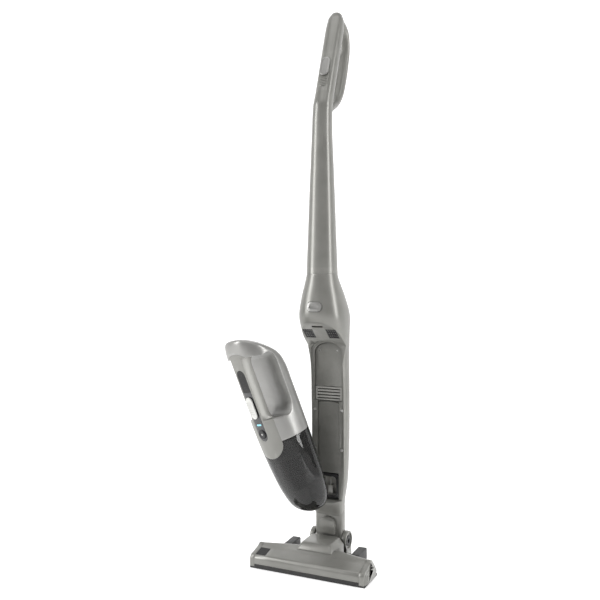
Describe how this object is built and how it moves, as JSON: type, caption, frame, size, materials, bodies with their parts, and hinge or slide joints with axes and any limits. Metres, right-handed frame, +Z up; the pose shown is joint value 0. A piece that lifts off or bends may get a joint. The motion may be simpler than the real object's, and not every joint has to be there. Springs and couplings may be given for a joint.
{
  "type": "cordless stick vacuum cleaner",
  "caption": "Upright stick vacuum with a swivelling floor nozzle, a dished spine and looped handle, and a hand vacuum with a smoky dust bin that tips and turns out of its dock.",
  "frame": {"origin": "on the floor, on the flat underside of the nozzle's sole plate, in the middle of its width and 95 mm behind the nozzle's front edge", "axes": "+Z up along the stick, -Y to the front, where the hand unit comes out, +X to the nozzle's right end seen from the front"},
  "size_m": [0.2947, 0.2763, 1.1667],
  "materials": {
    "grey_plastic": "satin warm grey, moulded",
    "light_plastic": "satin light grey",
    "silver_plastic": "satin silver",
    "white_plastic": "satin white",
    "black_plastic": "matt black",
    "gloss_black": "gloss black",
    "rubber": "soft black",
    "steel": "plated",
    "smoky_clear": "smoky clear plastic",
    "filter_fleece": "pleated fleece",
    "cell_wrap": "shrink wrap",
    "lit_lens": "pale blue light bar"
  },
  "bodies": {
    "floor_head": {"sole_plate": "grey_plastic", "head_cover": "grey_plastic", "cover_inlay": "black_plastic", "end_cap_left": "grey_plastic", "end_cap_right": "grey_plastic", "front_bumper": "rubber", "joint_hood": "grey_plastic", "pivot_ear_left": "grey_plastic", "pivot_ear_right": "grey_plastic", "pivot_pin_left": "black_plastic", "pivot_pin_right": "black_plastic", "brush_motor": "steel", "drive_belt": "rubber"},
    "brush": {"brush_roller": "black_plastic"},
    "pulley": {"motor_pulley": "white_plastic"},
    "left_wheel": {"rear_wheel_left": "rubber"},
    "right_wheel": {"rear_wheel_right": "rubber"},
    "left_roller": {"front_roller_left": "rubber"},
    "right_roller": {"front_roller_right": "rubber"},
    "neck": {"neck_yoke": "grey_plastic", "neck_tongue": "grey_plastic", "swivel_collar": "black_plastic"},
    "stick": {"spine_shell": "grey_plastic", "shoulder_cover": "grey_plastic", "vent_grille_left": "black_plastic", "vent_grille_right": "black_plastic", "dock_lower_panel": "grey_plastic", "dock_upper_panel": "grey_plastic", "louvre_grille": "light_plastic", "intake_frame": "black_plastic", "intake_duct": "light_plastic", "dock_screw_1": "steel", "dock_screw_2": "steel", "dock_screw_3": "steel", "dock_screw_4": "steel", "charge_pin_left": "steel", "charge_pin_right": "steel", "tube_front": "grey_plastic", "tube_rear": "grey_plastic", "slider_track": "grey_plastic"},
    "power_slider": {"stick_slider": "silver_plastic"},
    "release": {"release_button": "silver_plastic"},
    "dust_bin": {"dust_container": "smoky_clear", "suction_mouth": "black_plastic", "filter_cone": "black_plastic", "fine_filter": "filter_fleece"},
    "motor_unit": {"unit_shell": "light_plastic", "grip_housing": "grey_plastic", "control_panel": "gloss_black", "grip_strip": "rubber", "led_bar": "lit_lens", "fan_motor": "steel", "battery_pack": "cell_wrap", "exhaust_grille": "black_plastic"},
    "fan": {"fan_impeller": "white_plastic"},
    "speed_slider": {"hand_slider": "white_plastic"},
    "bin_release": {"bin_button": "gloss_black"}
  },
  "joints": [
    {"name": "neck_tilt", "type": "hinge", "parent": "floor_head", "child": "neck", "pos_m": [0, 0.039, 0.037], "axis": [-1, 0, 0], "range_deg": [0, 70]},
    {"name": "stick_swivel", "type": "hinge", "parent": "neck", "child": "stick", "pos_m": [0, 0.037, 0.1025], "axis": [0, -0.5473, 0.837], "range_deg": [-40, 40]},
    {"name": "unit_tip", "type": "hinge", "parent": "stick", "child": "dust_bin", "pos_m": [-0.028, 0.01, 0.122], "axis": [0.4714, -0.4714, -0.7454], "range_deg": [-30.32, 0]},
    {"name": "unit_lift", "type": "slide", "parent": "dust_bin", "child": "motor_unit", "axis": [-0.2861, -0.1899, 0.9392], "range_m": [0, 0.1]},
    {"name": "fan_spin", "type": "hinge", "parent": "motor_unit", "child": "fan", "pos_m": [-0.06458, -0.06552, 0.27979], "axis": [-0.2861, -0.1899, 0.9392], "continuous": true},
    {"name": "speed_slide", "type": "slide", "parent": "motor_unit", "child": "speed_slider", "axis": [-0.2861, -0.1899, 0.9392], "range_m": [0, 0.012]},
    {"name": "bin_press", "type": "slide", "parent": "motor_unit", "child": "bin_release", "axis": [0.3459, 0.8936, 0.2861], "range_m": [0, 0.002], "stiffness_N_per_m": 500},
    {"name": "power_slide", "type": "slide", "parent": "stick", "child": "power_slider", "axis": [0, 0.342, 0.9397], "range_m": [-0.021, 0]},
    {"name": "release_press", "type": "slide", "parent": "stick", "child": "release", "axis": [0, 1, 0], "range_m": [0, 0.003], "stiffness_N_per_m": 500},
    {"name": "brush_spin", "type": "hinge", "parent": "floor_head", "child": "brush", "pos_m": [0, -0.07, 0.0144], "axis": [1, 0, 0], "continuous": true},
    {"name": "pulley_spin", "type": "hinge", "parent": "floor_head", "child": "pulley", "pos_m": [0.1, -0.045, 0.02], "axis": [1, 0, 0], "continuous": true},
    {"name": "left_wheel_spin", "type": "hinge", "parent": "floor_head", "child": "left_wheel", "pos_m": [-0.0755, 0.018, 0.011], "axis": [1, 0, 0], "continuous": true},
    {"name": "right_wheel_spin", "type": "hinge", "parent": "floor_head", "child": "right_wheel", "pos_m": [0.0755, 0.018, 0.011], "axis": [1, 0, 0], "continuous": true},
    {"name": "left_roller_spin", "type": "hinge", "parent": "floor_head", "child": "left_roller", "pos_m": [-0.09, -0.034, 0.006], "axis": [1, 0, 0], "continuous": true},
    {"name": "right_roller_spin", "type": "hinge", "parent": "floor_head", "child": "right_roller", "pos_m": [0.09, -0.034, 0.006], "axis": [1, 0, 0], "continuous": true}
  ],
  "couplings": [
    {"joint": "pulley_spin", "follows": "brush_spin", "ratio": 1.325}
  ]
}
